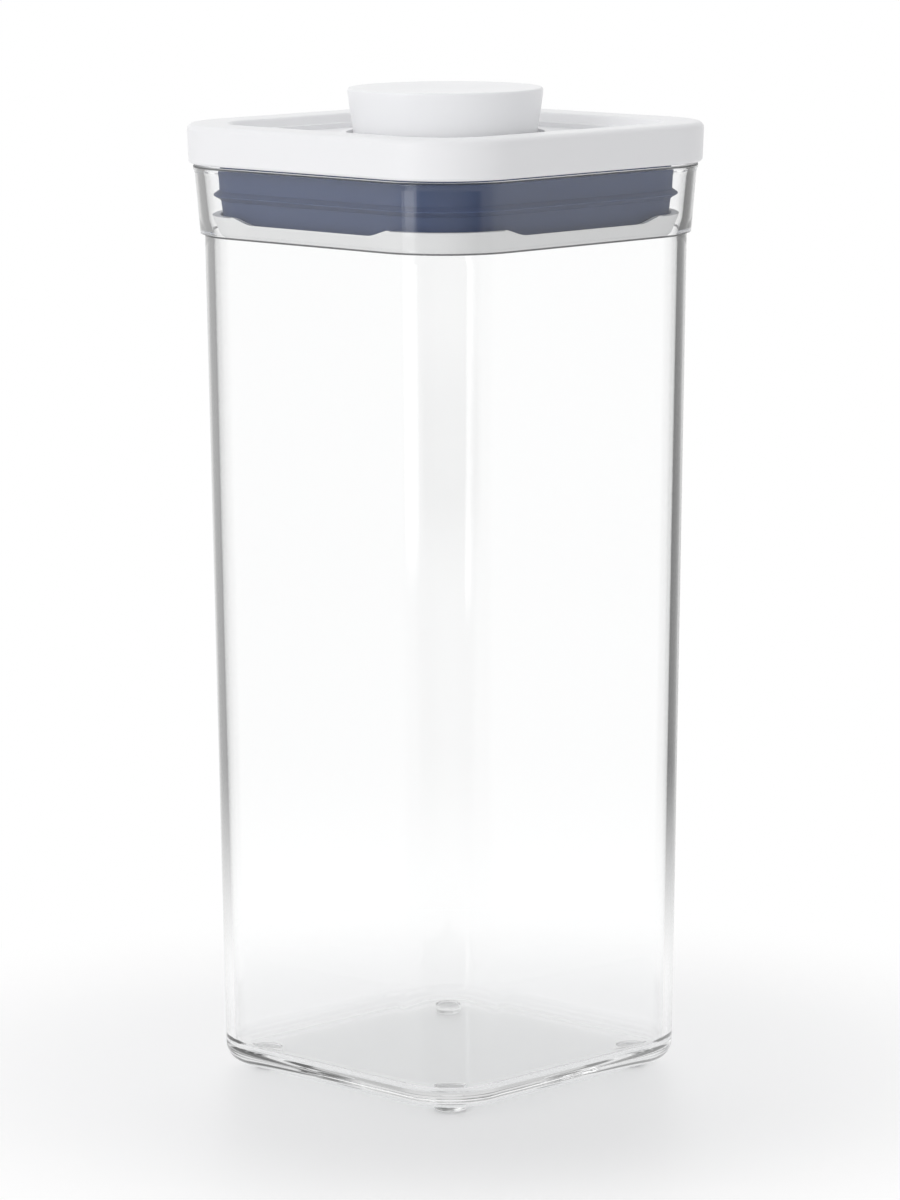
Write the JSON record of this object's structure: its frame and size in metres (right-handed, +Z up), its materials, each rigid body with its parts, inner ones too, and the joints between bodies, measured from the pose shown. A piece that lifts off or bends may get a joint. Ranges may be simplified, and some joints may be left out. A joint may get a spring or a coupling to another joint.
{
  "type": "food storage container",
  "caption": "Tall square clear food storage canister with rounded corners and a white push-button lid that presses a soft gasket outwards to seal.",
  "frame": {"origin": "middle of the footprint, on the plane under the four feet", "axes": "+Z up; X and Y square to the four walls; the picture's front corner points to +X -Y"},
  "size_m": [0.1034, 0.1034, 0.249],
  "materials": {
    "clear_plastic": "clear polished plastic",
    "white_plastic": "white moulded plastic, fine satin gloss",
    "tray_plastic": "white moulded plastic, satin",
    "mechanism_plastic": "natural white acetal, satin",
    "silicone": "blue-grey silicone, matt",
    "spring_steel": "bright spring wire"
  },
  "bodies": {
    "container": {"container_body": "clear_plastic"},
    "lid": {"lid_cover": "white_plastic", "lid_frame": "white_plastic", "lid_base": "tray_plastic", "hub_cover": "tray_plastic", "latch_sleeve": "mechanism_plastic", "gasket": "silicone", "return_spring": "spring_steel"},
    "button": {"button_cap": "white_plastic", "button_plunger": "mechanism_plastic"},
    "barrel": {"latch_barrel": "mechanism_plastic"},
    "pusher_front": {"seal_pusher_front": "mechanism_plastic"},
    "pusher_right": {"seal_pusher_right": "mechanism_plastic"},
    "pusher_back": {"seal_pusher_back": "mechanism_plastic"},
    "pusher_left": {"seal_pusher_left": "mechanism_plastic"}
  },
  "joints": [
    {"name": "lid_lift", "type": "slide", "parent": "container", "child": "lid", "axis": [0, 0, 1], "range_m": [0, 0.06]},
    {"name": "button_press", "type": "slide", "parent": "lid", "child": "button", "axis": [0, 0, -1], "range_m": [0, 0.0085], "stiffness_N_per_m": 200, "springref_m": -0.005, "deforming": ["return_spring"]},
    {"name": "barrel_turn", "type": "hinge", "parent": "button", "child": "barrel", "pos_m": [0, 0, 0.22], "axis": [0, 0, 1], "range_deg": [0, 45]},
    {"name": "seal_front", "type": "slide", "parent": "lid", "child": "pusher_front", "axis": [0, -1, 0], "range_m": [0, 0.0013], "deforming": ["gasket"]},
    {"name": "seal_right", "type": "slide", "parent": "lid", "child": "pusher_right", "axis": [1, 0, 0], "range_m": [0, 0.0013]},
    {"name": "seal_back", "type": "slide", "parent": "lid", "child": "pusher_back", "axis": [0, 1, 0], "range_m": [0, 0.0013]},
    {"name": "seal_left", "type": "slide", "parent": "lid", "child": "pusher_left", "axis": [-1, 0, 0], "range_m": [0, 0.0013]}
  ],
  "couplings": [
    {"joint": "barrel_turn", "follows": "button_press", "rad_per_m": 92.4},
    {"joint": "seal_front", "follows": "button_press", "ratio": 0.15294},
    {"joint": "seal_right", "follows": "button_press", "ratio": 0.15294},
    {"joint": "seal_back", "follows": "button_press", "ratio": 0.15294},
    {"joint": "seal_left", "follows": "button_press", "ratio": 0.15294}
  ]
}
